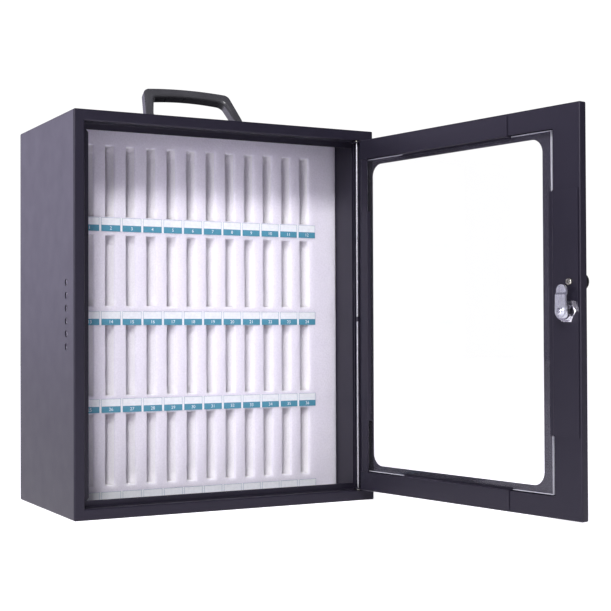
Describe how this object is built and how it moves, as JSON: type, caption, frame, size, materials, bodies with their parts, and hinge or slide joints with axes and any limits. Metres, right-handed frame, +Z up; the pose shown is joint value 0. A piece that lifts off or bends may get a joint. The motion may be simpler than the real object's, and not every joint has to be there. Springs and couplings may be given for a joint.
{
  "type": "cell phone locker box",
  "caption": "Steel cell phone locker box with numbered foam slots, a hinged window door with a cam lock, and a folding carry handle.",
  "frame": {"origin": "centre of the flat underside of the cabinet", "axes": "+Z up, +Y towards the back panel, so the doorway faces -Y; +X towards the hinged side"},
  "size_m": [0.4435, 0.557, 0.5185],
  "materials": {
    "cabinet_paint": "satin powder coat",
    "door_paint": "satin powder coat",
    "retainer_paint": "satin powder coat",
    "foam": "matte closed-cell foam",
    "label_print": "printed strip",
    "clear_pane": "clear",
    "lock_chrome": "polished",
    "zinc_plate": "bright zinc",
    "rod_steel": "bright drawn",
    "knob_black": "gloss",
    "handle_plastic": "moulded grain"
  },
  "bodies": {
    "cabinet": {"left_side": "cabinet_paint", "right_side": "cabinet_paint", "top_panel": "cabinet_paint", "bottom_panel": "cabinet_paint", "back_panel": "cabinet_paint", "foam_row_1": "foam", "foam_row_2": "foam", "foam_row_3": "foam", "foam_row_4": "foam", "foam_backing": "foam", "label_strip_1": "label_print", "label_strip_2": "label_print", "label_strip_3": "label_print", "label_strip_4": "label_print", "hinge_rod": "rod_steel", "hinge_washers": "zinc_plate", "handle_bracket_left": "handle_plastic", "handle_bracket_right": "handle_plastic", "handle_pins": "zinc_plate", "handle_rivets": "zinc_plate"},
    "door": {"door_skin": "door_paint", "hinge_stile": "door_paint", "window_pane": "clear_pane", "retainer_top": "retainer_paint", "retainer_bottom": "retainer_paint", "retainer_lock_side": "retainer_paint", "retainer_hinge_side": "retainer_paint", "hinge_saddle": "door_paint", "lock_barrel": "lock_chrome", "lock_nut": "zinc_plate", "door_knob": "knob_black", "knob_screw": "zinc_plate"},
    "lock": {"lock_plug": "lock_chrome", "lock_cam": "zinc_plate", "cam_washer": "zinc_plate", "cam_screw": "zinc_plate"},
    "handle": {"carry_handle": "handle_plastic"}
  },
  "joints": [
    {"name": "door_hinge", "type": "hinge", "parent": "cabinet", "child": "door", "pos_m": [0.174, -0.1017, 0.23], "axis": [0, 0, 1], "range_deg": [-100, 30]},
    {"name": "lock_turn", "type": "hinge", "parent": "door", "child": "lock", "pos_m": [0.23275, -0.43486, 0.23], "axis": [0.9848, 0.1736, 0], "range_deg": [0, 90]},
    {"name": "handle_fold", "type": "hinge", "parent": "cabinet", "child": "handle", "pos_m": [0, 0, 0.467], "axis": [1, 0, 0], "range_deg": [0, 74]}
  ]
}
